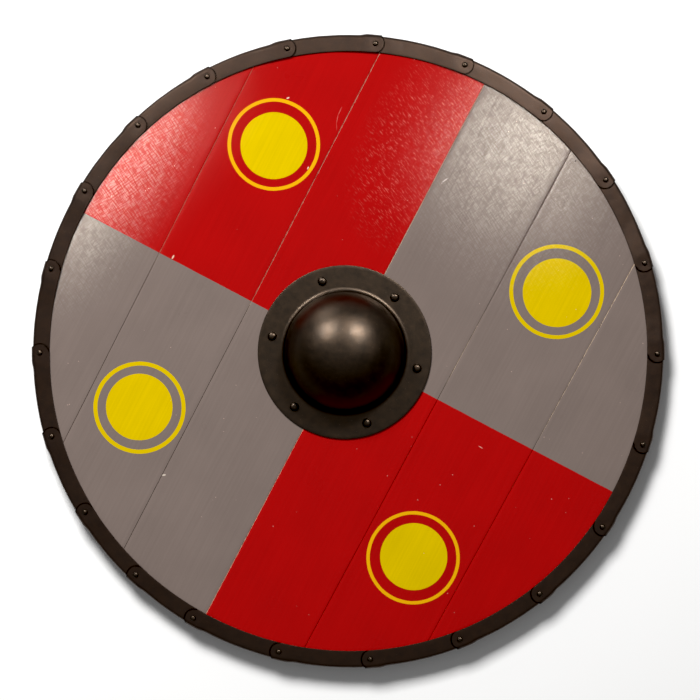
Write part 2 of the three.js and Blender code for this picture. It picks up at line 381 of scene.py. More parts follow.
def quartered_field(add, planks, flat, thickness):
    """Red and grey quarters with four ringed discs: the colour, where it is red, and where it is yellow."""
    # A painter's edge strays by about 0.15 mm over 20 mm
    stray = add("TexNoise", {"Vector": flat, "Scale": 1 / (18 * MM), "Detail": 3}, output="Color")
    stray = add("VectorMath", {0: stray, 1: (0.5, 0.5, 0.5)}, 'SUBTRACT')
    edge = add("VectorMath", {0: stray, 1: (0.6 * MM, 0.6 * MM, 0), 2: flat}, 'MULTIPLY_ADD')

    # Red where the two dividing lines have the point on opposite sides
    sides = []
    for normal, offset in ((radians(-27.75), -4.0 * MM), (radians(62.2), -1.2 * MM)):
        along = add("VectorMath", {0: edge, 1: (cos(normal), sin(normal), 0)}, 'DOT_PRODUCT', output="Value")
        sides.append(add("Math", {0: along, 1: offset}, 'SUBTRACT'))
    red = add("Math", {0: sides[0], 1: sides[1]}, 'MULTIPLY')
    red = add("Math", {0: red, 1: 0.0}, 'LESS_THAN')
    colour = add("Mix", {0: red, 6: tuple(planks.grey), 7: tuple(planks.red)}, output=2, data_type='RGBA')
    colour = add("VectorMath", {0: colour, "Scale": thickness}, 'SCALE')

    # Discs and their rings: middle as hung and radius, then the ring's own middle and its two radii
    ringed = (
        ((-74.7, 205.5), 33.5, (-74.8, 206.8), (42.7, 46.3)),
        ((208.4, 58.4), 34.4, (208.1, 59.4), (43.4, 47.4)),
        ((-209.3, -55.8), 33.4, (-209.1, -56.4), (42.0, 46.2)),
        ((65.1, -205.5), 33.6, (64.5, -206.6), (43.3, 46.7)),
    )
    discs = rings = 0.0
    for disc_middle, disc, ring_middle, (inner, outer) in ringed:
        reach, ring_reach = [add("VectorMath", {0: edge, 1: (x * MM, y * MM, 0)}, 'DISTANCE', output="Value")
                             for x, y in (disc_middle, ring_middle)]
        inside = add("Math", {0: reach, 1: disc * MM}, 'LESS_THAN')
        discs = add("Math", {0: discs, 1: inside}, 'MAXIMUM')
        middle, half = (inner + outer) / 2 * MM, (outer - inner) / 2 * MM
        on_ring = add("Math", {0: ring_reach, 1: middle, 2: half}, 'COMPARE')
        rings = add("Math", {0: rings, 1: on_ring}, 'MAXIMUM')
    over_red = add("Mix", {0: red, 6: tuple(planks.yellow), 7: tuple(planks.thin_yellow)}, output=2,
                   data_type='RGBA')
    colour = add("Mix", {0: rings, 6: colour, 7: over_red}, output=2, data_type='RGBA')
    yellow = add("VectorMath", {0: tuple(planks.yellow[:3]), "Scale": thickness}, 'SCALE')
    colour = add("Mix", {0: discs, 6: colour, 7: yellow}, output=2, data_type='RGBA')
    return colour, red, add("Math", {0: discs, 1: rings}, 'MAXIMUM')


def joints_with_wear_and_painted_light(add, planks, flat, colour):
    """The colour with a broken line on each joint: dark with dirt and painted shade in the gap, pale with
    worn edges and a painted highlight.
    """
    along = (cos(radians(ALONG_BOARDS)) / (640 * MM), sin(radians(ALONG_BOARDS)) / (640 * MM), 0)
    along = add("VectorMath", {0: flat, 1: along}, 'DOT_PRODUCT', output="Value")
    along = add("Math", {0: along, 1: 0.5}, 'ADD')
    nibbled = add("TexNoise", {"Vector": flat, "Scale": 1 / (5 * MM), "Detail": 4})
    # The line of wear and painted light is 0.5 to 0.9 mm wide, and noise breaks it every 5 mm
    width = add("MapRange", {0: nibbled, 1: 0.35, 2: 0.65, 3: 0.22 * MM, 4: 0.46 * MM})
    # Places along each joint with the wear and painted light there, from 0 where it is darkest to 1 where it
    # is palest
    joint_wear_and_light = (
        ((0, 0.3), (0.46, 0.34), (0.5, 0.66), (1, 0.72)),
        ((0, 0.25), (0.46, 0.34), (0.5, 0.72), (1, 0.84)),
        ((0, 0.86), (0.35, 0.84), (0.6, 0.9), (1, 0.88)),
        ((0, 0.28), (0.5, 0.35), (0.55, 0.8), (0.82, 0.1)),
        ((0, 0.3), (0.48, 0.35), (0.55, 0.75), (0.8, 1)),
    )
    for number, (offset, levels) in enumerate(zip(planks.offsets, joint_wear_and_light)):
        normal = planks.direction - pi / 2 + planks.turn * (number - 1) - HANG
        base = offset * cos(planks.turn * (number - 1))
        across = add("VectorMath", {0: flat, 1: (cos(normal), sin(normal), 0)}, 'DOT_PRODUCT', output="Value")
        line = add("Math", {0: across, 1: base, 2: width}, 'COMPARE')
        level = add("ValToRGB", {0: along}, stops=levels)
        pale_wear_and_highlight = add("MapRange", {0: level, 1: 0.5, 2: 1, 3: 0, 4: 0.75})
        dark = add("MapRange", {0: level, 1: 0, 2: 0.5, 3: 0.65, 4: 0})
        # Pale mixes worn paint with a painted highlight on the arris; dark mixes dirt with painted shade in
        # the gap
        for share, shade in ((pale_wear_and_highlight, "e8cfb4"), (dark, "2a1512")):
            share = add("Math", {0: share, 1: line}, 'MULTIPLY')
            colour = add("Mix", {0: share, 6: colour, 7: linear(shade)}, output=2, data_type='RGBA')
    return colour


def small_marks(add, flat, colour):
    """The colour with specks of dust in the paint, chips, pin holes and thin scratches."""
    # Specks where a grain of dust or a bubble shows pale, about 0.7 mm across and far apart
    dust = add("TexVoronoi", {"Vector": flat, "Scale": 1 / (9 * MM), "Randomness": 1})
    speck = add("Math", {0: dust, 1: 0.05}, 'LESS_THAN')
    some = add("TexNoise", {"Vector": flat, "Scale": 1 / (24 * MM), "Detail": 1})
    some = add("Math", {0: some, 1: 0.56}, 'GREATER_THAN')
    speck = add("Math", {0: speck, 1: some}, 'MULTIPLY')
    speck = add("Math", {0: speck, 1: 0.45}, 'MULTIPLY')
    colour = add("Mix", {0: speck, 6: colour, 7: linear("e6c4b8")}, output=2, data_type='RGBA')

    # Chips, pin holes and scratches: middle as hung, half length, half width, turn and colour
    marks = (
        (-175.6, 94.2, 2.2, 0.8, 60, "dcc0aa"), (-184.6, -123.8, 1.9, 0.8, 10, "cfc2b4"),
        (-8.6, 240.2, 4.4, 0.26, 66, "c46a60"), (-11.2, 232.6, 4.4, 0.24, 78, "c46a60"),
        (-12.0, 225.0, 4.2, 0.2, 92, "bb544c"),
        (-60.6, 253.2, 1.6, 0.7, 20, "e9d6c0"), (-40.6, 183.2, 1.5, 0.6, 70, "e9d6c0"),
        (227.0, 190.2, 0.9, 0.8, 0, "241b18"), (227.4, 201.2, 0.8, 0.7, 0, "241b18"),
        (96.4, 171.0, 3.4, 0.35, 35, "c9beb6"), (132.0, -96.0, 2.4, 0.4, 150, "d79a8c"),
    )
    for x, y, half_length, half_width, turn, shade in marks:
        inside = from_oval(add, flat, x, y, turn, half_length, half_width)
        inside = add("MapRange", {0: inside, 1: 0.8, 2: 1.15, 3: 0.85, 4: 0})
        colour = add("Mix", {0: inside, 6: colour, 7: linear(shade)}, output=2, data_type='RGBA')
    return colour


def brush_ridges(add, flat, loaded):
    """Height of the brush's ridges in mm, and the two crossing patterns that show most."""
    # Direction as hung, spacing, stroke length, depth, and depth where the brush was loaded
    strokes = (
        (124, 1.45, 11, 0.012, 0.11),
        (35, 1.35, 8, 0.01, 0.1),
        (ALONG_BOARDS, 6, 80, 0.02, 0.14),
        (130, 2.8, 18, 0.014, 0.08),
    )
    relief = 0.0
    crests = []
    for number, (direction, spacing, stroke, depth, thick) in enumerate(strokes):
        turned = add("Mapping", {"Vector": flat, "Location": (number * 0.37, 0, 0),
                                 "Rotation": (0, 0, radians(direction)),
                                 "Scale": (stroke * MM, spacing * MM, 1)}, vector_type='TEXTURE')
        ridges = add("TexNoise", {"Vector": turned, "Scale": 1, "Detail": 1, "Distortion": 0.1})
        crests.append(ridges)
        height = add("MapRange", {0: loaded, 1: 0, 2: 1, 3: depth, 4: thick})
        relief = add("Math", {0: ridges, 1: height, 2: relief}, 'MULTIPLY_ADD')
    return relief, crests[:2]


def painted_pine(planks):
    """Oil paint brushed by hand on planed pine.
    It looks satin, with fine ridges from the brush that catch the light, and worn thin along the joints."""
    material, add = new_material("brushed_oil_paint_on_pine")
    place = add("TexCoord", output="Object")
    hung = add("Mapping", {"Vector": place, "Rotation": (0, 0, -HANG)})
    flat = add("VectorMath", {0: hung, 1: (1, 1, 0)}, 'MULTIPLY')

    # Thick and thin paint: broad patches 60 mm across, and streaks along the boards
    patches = add("TexNoise", {"Vector": flat, "Scale": 1 / (60 * MM), "Detail": 3})
    streaked = add("Mapping", {"Vector": flat, "Rotation": (0, 0, radians(ALONG_BOARDS)),
                               "Scale": (90 * MM, 2.2 * MM, 1)}, vector_type='TEXTURE')
    streaks = add("TexNoise", {"Vector": streaked, "Scale": 1, "Detail": 4})
    thickness = add("Math", {0: patches, 1: streaks}, 'ADD')
    thickness = add("MapRange", {0: thickness, 1: 0.7, 2: 1.3, 3: 0.93, 4: 1.06})

    colour, red, yellow = quartered_field(add, planks, flat, thickness)
    colour = joints_with_wear_and_painted_light(add, planks, flat, colour)
    colour = small_marks(add, flat, colour)
    # Painted highlight over the red: pale strokes 1 mm wide and 6 mm long, standing for brush ridges that
    # catch the light, strongest in an oval near the top
    painted_ridge_glints = add("Mapping", {"Vector": flat, "Rotation": (0, 0, radians(130)), "Scale": (6 * MM, 1.0 * MM, 1)},
              vector_type='TEXTURE')
    painted_ridge_glints = add("TexNoise", {"Vector": painted_ridge_glints, "Scale": 1, "Detail": 2})
    painted_ridge_glints = add("MapRange", {0: painted_ridge_glints, 1: 0.58, 2: 0.7, 3: 0, 4: 0.45})
    painted_ridge_glints = add("Math", {0: painted_ridge_glints, 1: red}, 'MULTIPLY')
    empty = from_oval(add, flat, 78, 205, ALONG_BOARDS, 120, 70)
    empty = add("MapRange", {0: empty, 1: 1.0, 2: 0.5, 3: 0, 4: 1})
    painted_ridge_glints = add("Math", {0: painted_ridge_glints, 1: empty}, 'MULTIPLY')
    colour = add("Mix", {0: painted_ridge_glints, 6: colour, 7: linear("e88a7c")}, output=2, data_type='RGBA')

    # Two places where the brush was loaded with oily paint: middle as hung, turn, half length and half width
    loaded = 0.0
    for oval in ((-246, 160, 58, 190, 82), (196, 196, 50, 190, 150)):
        away = from_oval(add, flat, *oval)
        near = add("MapRange", {0: away, 1: 1.0, 2: 0.45, 3: 0, 4: 1}, interpolation_type='SMOOTHSTEP')
        loaded = add("Math", {0: loaded, 1: near}, 'MAXIMUM')
    relief, crests = brush_ridges(add, flat, loaded)
    # The thick yellow paint stands 0.05 mm proud of the quarters
    relief = add("Math", {0: yellow, 1: 0.05, 2: relief}, 'MULTIPLY_ADD')
    bump = add("Bump", {"Height": relief, "Distance": MM, "Strength": 1})

    # The oil that rose to the top of the loaded places dried to a skin with more gloss, in streaks along the
    # boards and on the crests of the ridges
    skin = add("MapRange", {0: streaks, 1: 0.35, 2: 0.65, 3: 0.45, 4: 1.0})
    skin = add("Math", {0: skin, 1: loaded}, 'MULTIPLY')
    for crest, least in zip(crests, (0.1, 0.2)):
        crest = add("MapRange", {0: crest, 1: 0.38, 2: 0.64, 3: least, 4: 1.45})
        skin = add("Math", {0: skin, 1: crest}, 'MULTIPLY')
    skin = add("Math", {0: skin, 1: 1.0}, 'MINIMUM')
    gloss = add("MapRange", {0: patches, 1: 0.3, 2: 0.7, 3: 0.27, 4: 0.31})
    shader = add("BsdfPrincipled", {"Base Color": colour, "Roughness": gloss, "Normal": bump, "IOR": 1.48,
                                    "Specular IOR Level": 0.14, "Coat Weight": skin, "Coat Roughness": 0.3,
                                    "Coat IOR": 1.5, "Coat Normal": bump})
    add("OutputMaterial", {"Surface": shader}, output=None)
    return material


def bare_pine(name, colour, direction, roughness):
    """Planed pine: soft pale early wood and thin brown late wood, long fibres and a few knots."""
    material, add = new_material(name)
    place = add("TexCoord", output="Object")
    board = add("Attribute", output="Fac", attribute_name="board")
    shift = add("CombineXYZ", {"X": 0.0, "Y": 0.0, "Z": board})
    place = add("VectorMath", {0: place, 1: shift}, 'ADD')
    # Growth rings show as long loops about 5 mm apart
    grain = add("Mapping", {"Vector": place, "Rotation": (0, 0, direction),
                            "Scale": (260 * MM, 17 * MM, 40 * MM)}, vector_type='TEXTURE')
    figure = add("TexNoise", {"Vector": grain, "Scale": 1, "Detail": 1, "Distortion": 0.2})
    rings = add("Math", {0: figure, 1: 22.0}, 'MULTIPLY')
    rings = add("Math", {0: rings, 1: 1.0}, 'FRACT')
    late = add("ValToRGB", {0: rings}, stops=((0, 0.0), (0.55, 0.15), (0.86, 1.0), (1, 0.05)))
    # Fibres 0.6 mm wide and some 40 mm long
    thin = add("Mapping", {"Vector": place, "Rotation": (0, 0, direction),
                           "Scale": (40 * MM, 0.6 * MM, 0.6 * MM)}, vector_type='TEXTURE')
    fibres = add("TexNoise", {"Vector": thin, "Scale": 1, "Detail": 3})
    # Knots about 9 mm across, far apart
    knots = add("Mapping", {"Vector": place, "Rotation": (0, 0, direction),
                            "Scale": (190 * MM, 95 * MM, 190 * MM)}, vector_type='TEXTURE')
    knots = add("TexVoronoi", {"Vector": knots, "Scale": 1})
    knot = add("MapRange", {0: knots, 1: 0.035, 2: 0.08, 3: 0.8, 4: 0})
    dark = tuple(c * k for c, k in zip(colour[:3], (0.62, 0.5, 0.4))) + (1.0,)
    wood = add("Mix", {0: late, 6: tuple(colour), 7: dark}, output=2, data_type='RGBA')
    wood = add("Mix", {0: knot, 6: wood, 7: linear("5b3419")}, output=2, data_type='RGBA')
    level = add("MapRange", {0: fibres, 1: 0.3, 2: 0.7, 3: 0.82, 4: 1.12})
    wood = add("VectorMath", {0: wood, "Scale": level}, 'SCALE')
    relief = add("Math", {0: fibres, 1: 0.05}, 'MULTIPLY')
    relief = add("Math", {0: late, 1: 0.06, 2: relief}, 'MULTIPLY_ADD')
    bump = add("Bump", {"Height": relief, "Distance": MM, "Strength": 1})
    gloss = add("MapRange", {0: late, 1: 0, 2: 1, 3: roughness + 0.06, 4: roughness - 0.05})
    shader = add("BsdfPrincipled", {"Base Color": wood, "Roughness": gloss, "Normal": bump, "IOR": 1.5})
    add("OutputMaterial", {"Surface": shader}, output=None)
    return material


def blackened_steel(name, colour, roughness, grain, lap_shaded=False):
    """Mild steel blackened in the fire and wiped with oil.
    It looks dark brown and satin, mottled where the scale is thicker, with fine pits."""
    material, add = new_material(name)
    place = add("TexCoord", output="Object")
    # Fire scale in patches 9 mm across that break up to 1 mm
    scale = add("TexNoise", {"Vector": place, "Scale": 1 / (9 * MM), "Detail": 6, "Roughness": 0.72})
    tint = add("MapRange", {0: scale, 1: 0.32, 2: 0.68, 3: 0.0, 4: 1.0})
    brown = tuple(c * k for c, k in zip(colour[:3], (1.12, 1.06, 1.0))) + (1.0,)
    black = tuple(c * k for c, k in zip(colour[:3], (0.86, 0.9, 0.94))) + (1.0,)
    steel = add("Mix", {0: tint, 6: black, 7: brown}, output=2, data_type='RGBA')
    pits = add("TexNoise", {"Vector": place, "Scale": 1 / (grain * MM), "Detail": 4})
    # Pin pricks of rust and dust 0.5 mm across
    dust = add("TexVoronoi", {"Vector": place, "Scale": 1 / (5 * MM)})
    prick = add("MapRange", {0: dust, 1: 0.04, 2: 0.09, 3: 0.35, 4: 0})
    steel = add("Mix", {0: prick, 6: steel, 7: linear("675a4f")}, output=2, data_type='RGBA')
    if lap_shaded:
        # Painted shade in the step round each lap, darkened a little more by oil and soot
        lap_shade_and_grime = add("Attribute", output="Fac", attribute_name="lap_shade_and_grime")
        lap_shade_and_grime = add("Math", {0: lap_shade_and_grime, 1: 0.85}, 'MULTIPLY')
        steel = add("Mix", {0: lap_shade_and_grime, 6: steel, 7: linear("0c0907")}, output=2, data_type='RGBA')
    relief = add("Math", {0: pits, 1: 0.06}, 'MULTIPLY')
    relief = add("Math", {0: scale, 1: 0.08, 2: relief}, 'MULTIPLY_ADD')
    bump = add("Bump", {"Height": relief, "Distance": MM, "Strength": 1})
    gloss = add("MapRange", {0: scale, 1: 0.3, 2: 0.7, 3: roughness - 0.03, 4: roughness + 0.05})
    shader = add("BsdfPrincipled", {"Base Color": steel, "Metallic": 1.0, "Roughness": gloss, "Normal": bump})
    add("OutputMaterial", {"Surface": shader}, output=None)
    return material


# Pieces

def joint_line(planks, number):
    """A point of a joint and its direction, as two pairs."""
    across = planks.direction - pi / 2
    along = planks.direction + planks.turn * (number - 1)
    offset = planks.offsets[number]
    return (np.array([offset * cos(across), offset * sin(across)]), np.array([cos(along), sin(along)]))


def plank_points(planks, rim, number):
    """Front and back grids of one plank, between its joints or out to the board's edge."""
    low = joint_line(planks, max(number - 1, 0))
    high = joint_line(planks, min(number, 4))
    offsets = list(planks.offsets)
    start = planks.gap / 2 if number > 0 else -(planks.radius - 0.6 * MM + offsets[0])
    finish = -planks.gap / 2 if number < 5 else planks.radius - 0.6 * MM - offsets[-1]
    width = (offsets[min(number, 4)] + finish) - (offsets[max(number - 1, 0)] + start)
    places = stops_between(0, width, 3.5 * MM, planks.arris)
    shares = np.clip((places - planks.arris) / (width - 2 * planks.arris), 0, 1)
    rows = []
    for place, share in zip(places, shares):
        from_low = low[0] + np.array([low[1][1], -low[1][0]]) * (start + place)
        from_high = high[0] + np.array([high[1][1], -high[1][0]]) * (finish + place - width)
        point = from_low * (1 - share) + from_high * share
        along = low[1] * (1 - share) + high[1] * share
        along /= np.linalg.norm(along)
        nearest = point @ along
        reach = sqrt(max(planks.radius ** 2 - (point @ point - nearest ** 2), 0))
        stations = stops_between(0, 2 * reach, 2 * reach / 172, min(planks.arris, 0.4 * reach))
        stations = stations - reach - nearest
        rows.append(point + stations[:, None] * along)
    grid = np.array(rows)
    along = grid @ np.array([cos(planks.direction), sin(planks.direction)])
    across = np.broadcast_to(places[:, None], along.shape)
    edge = np.minimum(places, width - places)[:, None]
    drop = np.maximum(edge_drop(edge, planks.arris), np.zeros_like(along))
    # Planed by hand: long shallow waves, and a little cupping across each board
    waves = ripples(np.stack([along / 6, across], -1), 34 * MM, 11 + number)
    cup = (2 * across / width - 1) ** 2
    lean = 1 if number % 2 else -1
    dip = planks.cupping * (0.5 + 0.5 * lean * (1 - 2 * cup)) + 0.05 * MM * (1 + waves)
    dip = np.maximum(dip, 0) * smooth(edge / (6 * MM))
    # The board is planed thinner under the rim, and the edge inside the fold stays clear
    fall = rim_fall(rim, np.hypot(grid[..., 0], grid[..., 1]) + 0.6 * MM)
    front = np.dstack([grid, BOARD_FRONT - drop - dip - fall])
    back = np.dstack([grid, BOARD_BACK + drop + fall + 0.04 * MM * (1 + ripples(grid, 40 * MM, 21 + number))])
    return front, back


class SHIELD_OT_planks(bpy.types.Operator):
    """Six planed planks, painted on the front, with the hand hole and the rivets' holes cut through them"""
    bl_idname = "shield.planks"
    bl_label = "Painted planks"

    def execute(self, context):
        planks = context.scene.shield_planks
        rivets = context.scene.shield_rivets
        paint = painted_pine(planks)
        bare = bare_pine("planed_pine", planks.pine, planks.direction, 0.62)
        for number in range(6):
            node = f"plank_{number + 1}"
            points, faces = shell(*plank_points(planks, context.scene.shield_rim, number))
            plank = solid(f"painted_plank_{number + 1}", points, faces)
            low, high = BOARD_BACK - MM, BOARD_FRONT + MM
            cutters = []
            if number in (2, 3):
                turns = np.arange(96) * 2 * pi / 96
                radii = [planks.hand_hole + flare * MM for flare in (1.5, 0.5, 0, 0, 0.5)]
                heights = [low, BOARD_BACK + 0.3 * MM, BOARD_BACK + 1.4 * MM, BOARD_FRONT - 0.8 * MM, high]
                rings = [np.column_stack([BOSS_CENTRE.x + r * np.cos(turns),
                                          BOSS_CENTRE.y + r * np.sin(turns), np.full(96, z)])
                         for r, z in zip(radii, heights)]
                cutters.append(solid("hand_hole", *stack(np.array(rings))))
            left = planks.offsets[number - 1] - 8 * MM if number > 0 else -1
            right = planks.offsets[number] + 8 * MM if number < 5 else 1
            for names, shank in ((rim_rivet_nodes(), rivets.rim_shank),
                                 (boss_rivet_nodes(), rivets.boss_shank)):
                for name in names:
                    spot = middle_of(name)
                    across = spot.x * sin(planks.direction) - spot.y * cos(planks.direction)
                    if left < across < right:
                        cutters.append(square_drill(spot, shank + rivets.hole, low, high))
            carve(plank, cutters)
            shades = plank.data.attributes.new("board", 'FLOAT', 'POINT')
            shades.data.foreach_set("value", [0.31 * number] * len(plank.data.vertices))
            settle(plank, (paint, bare), [node])
            light_group("painted_boards").objects.link(plank)
            middle = (BOARD_BACK + BOARD_FRONT) / 2
            for face in plank.data.polygons:
                face.material_index = 0 if face.normal.z > 0.25 and face.center.z > middle else 1
        return {'FINISHED'}


def rim_section(rim):
    """Middle line of the folded strip as radius and height, its outward normal, and distance along it."""
    half = rim.steel / 2
    front = BOARD_FRONT + RIM_GAP + half
    back = BOARD_BACK - RIM_GAP - half
    turn = rim.bend - half
    leg = rim.outer - rim.bend - rim.inner
    side = front - back - 2 * turn - 2 * rim.fall
    quarter = turn * pi / 2
    length = 2 * leg + 2 * quarter + side
    legs = [leg * share for share in np.linspace(0, 1, 10)][1:]
    half_stops = edge_stops(STRIP_EDGE) + [stop for stop in legs if stop > 1 * MM]
    half_stops += [leg + quarter * share for share in np.linspace(0, 1, 7)[1:]]
    first = np.array(half_stops + [leg + quarter + side * share for share in (0.2, 0.4)])
    stops = np.concatenate([first, length - first[::-1]])
    radius, height, outward, upward = [], [], [], []
    for stop in stops:
        mirrored = stop > length / 2
        at = length - stop if mirrored else stop
        if at <= leg:
            r, z = rim.inner + at, front - rim_fall(rim, rim.inner + at)
            turned = pi / 2 - 1.3 * rim.fall / leg * (at / leg) ** 0.3
        elif at <= leg + quarter:
            turned = (pi / 2 - 1.3 * rim.fall / leg) * (1 - (at - leg) / quarter)
            r = rim.outer - rim.bend + turn * cos(turned)
            z = front - rim.fall - turn + turn * sin(turned)
        else:
            r, z, turned = rim.outer - half, front - rim.fall - turn - (at - leg - quarter), 0.0
        radius.append(r)
        height.append(front + back - z if mirrored else z)
        outward.append(cos(turned))
        upward.append(-sin(turned) if mirrored else sin(turned))
    return (np.array(radius), np.array(height), np.array(outward), np.array(upward),
            np.minimum(stops, length - stops))


def lapped_strip(rim, circle, number, start, length):
    """Outer and inner grids of one piece of the rim, from its round end to its end under the next piece."""
    radius, height, outward, upward, edge = rim_section(rim)
    tip = END_MIDDLE - rim.end_radius
    total = length + rim.under - tip
    near = np.concatenate([edge_stops(STRIP_EDGE), np.arange(1.1, 17, 1.1) * MM])
    fine = total - 19.5 * MM
    far = np.linspace(near[-1] + 1.6 * MM, fine, round((fine - near[-1]) / (2.2 * MM)))
    far = np.concatenate([far, np.linspace(fine, total - STRIP_EDGE, 34)[1:-1]])
    away = np.concatenate([near, far, total - np.array(edge_stops(STRIP_EDGE)[::-1])])
    # The lapping end is round about its rivet, and the places behind it grow straight
    begin = END_MIDDLE - np.sqrt(np.maximum(rim.end_radius ** 2 - (radius - circle) ** 2, 0))
    along = away[None, :] + tip + (begin - tip)[:, None] * (1 - smooth(away / (15 * MM)))[None, :]
    # A lap settles slowly on the board's face, and sooner round the edge
    settled = smooth((along - 9 * MM) / (34 * MM))
    closed = smooth((along - 8.5 * MM) / (9 * MM))
    lift = rim.lift * (1 - (settled * (1 - outward[:, None]) + closed * outward[:, None]))
    turned = start + along / circle
    hung = turned - HANG
    wander = rim.wander * (0.9 + np.cos(2 * hung) + 0.5 * np.cos(3 * hung) + 0.36 * np.sin(3 * hung)
                           - 0.6 * np.sin(4 * hung) + 0.28 * np.sin(5 * hung))
    level = np.stack([np.cos(turned), np.sin(turned)], -1)
    rough = np.dstack([level * radius[:, None, None], np.broadcast_to(height[:, None], along.shape)])
    hammered = ripples(rough, 17 * MM, 100 + number) + 0.4 * ripples(rough, 6.5 * MM, 200 + number)
    hammered = rim.hammering * hammered
    # The strip is pressed down a little under each rivet
    for spot in (0, length):
        away_from = np.hypot(along - spot, radius[:, None] - circle)
        hammered = hammered - 0.24 * MM * np.exp(-(away_from / (5.5 * MM)) ** 2)
    hammered = np.minimum(hammered, 0.1 * MM)
    ends = np.minimum(away, total - away)[None, :]
    half = rim.steel / 2 - edge_drop(np.minimum(ends, edge[:, None]), STRIP_EDGE)
    grids = []
    for side in (half, -half):
        off = side + lift + hammered
        r = radius[:, None] - wander + outward[:, None] * off
        z = height[:, None] + upward[:, None] * off
        # The rim stays 0.02 mm inside the CAD model's own box
        x, y = [np.clip(place, cad_box[0][axis] + 0.02 * MM, cad_box[1][axis] - 0.02 * MM)
                for axis, place in enumerate((r * np.cos(turned), r * np.sin(turned)))]
        grids.append(np.dstack([x, y, z]))
    return grids


def step_shade_and_grime(rim, circle, piece, start, length):
    """How much painted shade, with some oil and soot, lies at each point of a piece.
    It shows as a thin dark line along this piece's round end, and just outside the next one's, where the lap
    shades the step."""
    places = np.empty(3 * len(piece.data.vertices))
    piece.data.vertices.foreach_get("co", places)
    x, y, z = places.reshape(-1, 3).T
    turned = np.unwrap(np.stack([np.full(len(x), start), np.arctan2(y, x)]), axis=0)[1]
    along = (turned - start) * circle
    reach = np.hypot(x, y)
    own = rim.end_radius - np.hypot(along - END_MIDDLE, reach - circle)
    following = np.hypot(along - length - END_MIDDLE, reach - circle) - rim.end_radius
    lap_shade_and_grime = np.where(along < 0, 1 - smooth((own - 0.35 * MM) / (0.5 * MM)), 0)
    lap_shade_and_grime = np.maximum(lap_shade_and_grime, np.where((along > length / 2) & (along < length + END_MIDDLE),
                                       1 - smooth((following - 0.3 * MM) / (0.7 * MM)), 0))
    return lap_shade_and_grime


class SHIELD_OT_rim(bpy.types.Operator):
    """Twenty-two pieces of folded steel, each with a round end lapped over the piece before it"""
    bl_idname = "shield.rim"
    bl_label = "Folded rim"

    def execute(self, context):
        rim = context.scene.shield_rim
        rivets = context.scene.shield_rivets
        circle = rivets.rim_circle
        steel = blackened_steel("blackened_rim_steel", rim.steel_colour, 0.43, 1.3, lap_shaded=True)
        spots = [middle_of(name) for name in rim_rivet_nodes()]
        angles = np.unwrap([np.arctan2(spot.y, spot.x) for spot in spots])
        angles = np.append(angles, angles[0] + 2 * pi)
        for number in range(22):
            start = angles[number]
            length = (angles[number + 1] - start) * circle
            points, faces = shell(*lapped_strip(rim, circle, number, start, length))
            piece = solid(f"folded_rim_{number + 1:02d}", points, faces)
            carve(piece, [square_drill(spot, rivets.rim_shank + rivets.hole, 0, 40 * MM)
                          for spot in (spots[number], spots[(number + 1) % 22])])
            settle(piece, (steel,), [f"rim_segment_{number + 1:02d}"], sharp=50)
            light_group("rim").objects.link(piece)
            # Painted shade, with some oil and soot, along the step of each lap
            shades = piece.data.attributes.new("lap_shade_and_grime", 'FLOAT', 'POINT')
            shades.data.foreach_set("value", step_shade_and_grime(rim, circle, piece, start, length))
        return {'FINISHED'}


def rivet_points(node, seat, top, radius, shank, tail, tail_rise, tail_height, seed):
    """Rings of a rivet: a domed head beaten by hand, a square shank and a flattened square tail."""
    low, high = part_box(node)
    centre = (low + high) / 2
    chance = np.random.default_rng(seed)
    size = 32
    turns = np.arange(size) * 2 * pi / size
    uneven = 1 - 0.035 * (1 + np.cos(2 * turns + chance.uniform(0, 6)) * 0.6
                          + np.cos(3 * turns + chance.uniform(0, 6)) * 0.4)
    lean = chance.uniform(-0.05, 0.05, 2)
    square = 1 / (np.abs(np.cos(turns)) + np.abs(np.sin(turns)))
    rise = top - seat
    hammered = low.z + tail_rise
    rings = []

    def ring(z, across, squareness, rough):
        outline = across * ((1 - squareness) + squareness * square)
        outline = outline * (uneven if rough else 1)
        x, y = outline * np.cos(turns), outline * np.sin(turns)
        tilt = (lean[0] * x + lean[1] * y) if rough and z > seat + 0.2 * rise else 0
        rings.append(np.column_stack([centre.x + x, centre.y + y, z + tilt + 0 * x]))

    for share in (0.03, 0.2, 0.4, 0.6, 0.8, 0.93):
        ring(hammered - tail_height * (1 - share ** 1.6), tail * (0.45 + 0.55 * share ** 0.6), 0.75, True)
    ring(hammered, tail, 0.8, True)
    ring(hammered, shank, 1, False)
    ring(seat, shank, 1, False)
    ring(seat, radius * 0.97, 0, True)
    # Low dome with a tight edge and a slightly flattened crown
    for angle in (6, 14, 24, 36, 48, 60, 71, 80, 86):
        turn = radians(angle)
        ring(seat + rise * 0.98 * sin(turn) ** 0.9, radius * cos(turn) ** 0.85, 0, True)
    rings = np.array(rings)
    rings[..., 2] = np.minimum(rings[..., 2], top)
    return rings


def add_rivets(names, title, steel, seat, top, radius, shank, tail, tail_rise, tail_height, digits):
    """The rivets of one kind, each beaten a little differently."""
    for number, node in enumerate(names):
        rings = rivet_points(node, seat, top, radius, shank, tail, tail_rise, tail_height, 300 + number)
        rivet = solid(f"{title}_{number + 1:0{digits}d}", *stack(rings))
        settle(rivet, (steel,), [node], sharp=45)
        light_group("boss_and_rivets").objects.link(rivet)


class SHIELD_OT_rim_rivets(bpy.types.Operator):
    """Twenty-two small domed rivets, one through each lap of the rim"""
    bl_idname = "shield.rim_rivets"
    bl_label = "Rim rivets"

    def execute(self, context):
        rivets = context.scene.shield_rivets
        steel = blackened_steel("blackened_rivet_steel", rivets.steel_colour, 0.36, 1.0)
        rim = context.scene.shield_rim
        lapped = BOARD_FRONT + RIM_GAP + rim.steel + rim.lift - rim_fall(rim, rivets.rim_circle)
        add_rivets(rim_rivet_nodes(), "hammered_rim_rivet", steel, lapped - 0.4 * MM,
                   lapped + 2.1 * MM, 3.05 * MM, rivets.rim_shank, rivets.rim_tail, 2.2 * MM, 1.3 * MM, 2)
        return {'FINISHED'}


